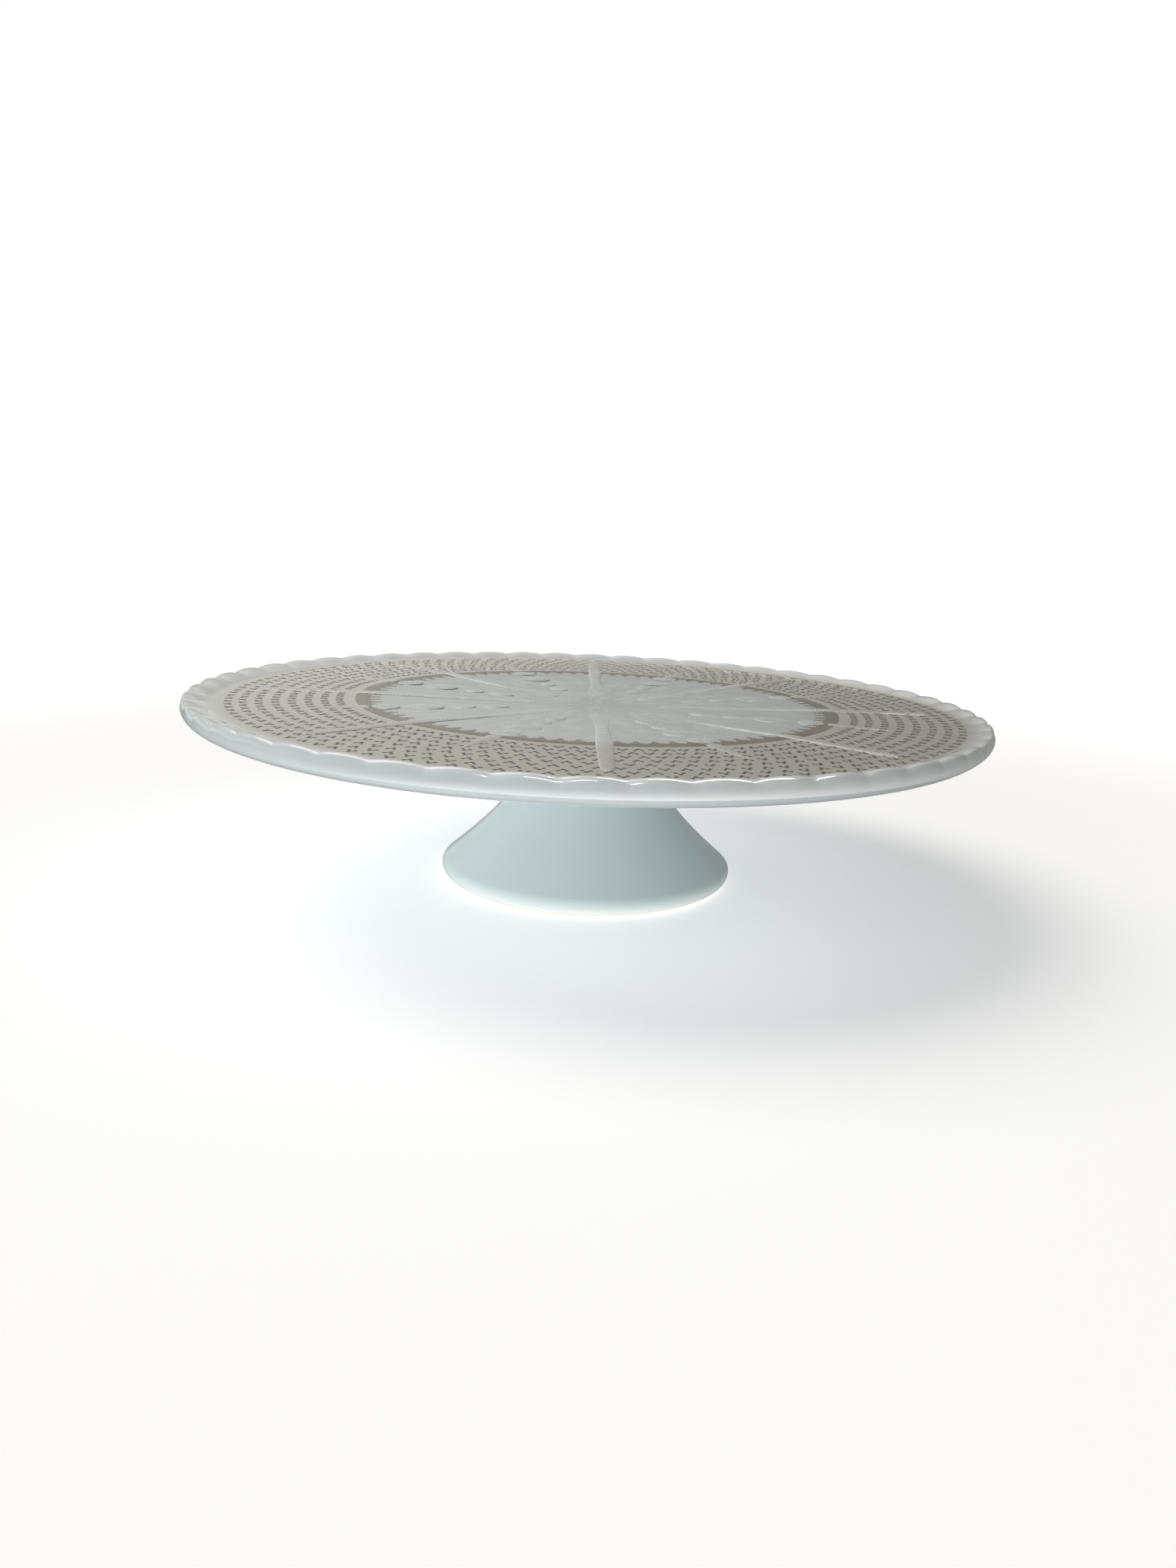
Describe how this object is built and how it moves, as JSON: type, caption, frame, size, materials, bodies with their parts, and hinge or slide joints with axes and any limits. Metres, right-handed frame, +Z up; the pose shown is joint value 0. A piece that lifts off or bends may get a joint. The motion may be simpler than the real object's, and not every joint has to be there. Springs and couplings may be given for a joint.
{
  "type": "cake stand",
  "caption": "Low footed cake stand: round glazed plate with wavy rim and raised rays, clamped to a hollow flared pedestal by a stud and wing nut.",
  "frame": {"origin": "on the table, at the centre of the foot ring", "axes": "+Z up along the stand's axis; -Y is the side towards the viewer; the stand is round, so X and Y are otherwise free"},
  "size_m": [0.3, 0.3, 0.0722],
  "materials": {
    "plate_glaze": "glossy white glaze with a printed brown transfer and raised white enamel",
    "pedestal_glaze": "glossy pale blue-green glaze, bare bisque on the foot ring",
    "gasket_silicone": "translucent satin",
    "insert_brass": "turned",
    "stud_steel": "rolled thread, bright zinc",
    "washer_rubber": "matt black",
    "washer_steel": "bright zinc",
    "nut_zinc": "cast, bright zinc",
    "pad_silicone": "clear satin"
  },
  "bodies": {
    "stand": {"pedestal": "pedestal_glaze", "serving_plate": "plate_glaze", "seat_gasket": "gasket_silicone", "plate_insert": "insert_brass", "clamp_stud": "stud_steel", "foot_pads": "pad_silicone"},
    "washers": {"rubber_washer": "washer_rubber", "steel_washer": "washer_steel"},
    "nut": {"wing_nut": "nut_zinc"}
  },
  "joints": [
    {"name": "washer_drop", "type": "slide", "parent": "stand", "child": "washers", "axis": [0, 0, -1], "range_m": [0, 0.015]},
    {"name": "nut_turn", "type": "hinge", "parent": "washers", "child": "nut", "pos_m": [0, 0, 0.036], "axis": [0, 0, -1], "range_deg": [0, 4320]}
  ],
  "couplings": [
    {"joint": "washer_drop", "follows": "nut_turn", "m_per_rad": 0.00019894}
  ]
}
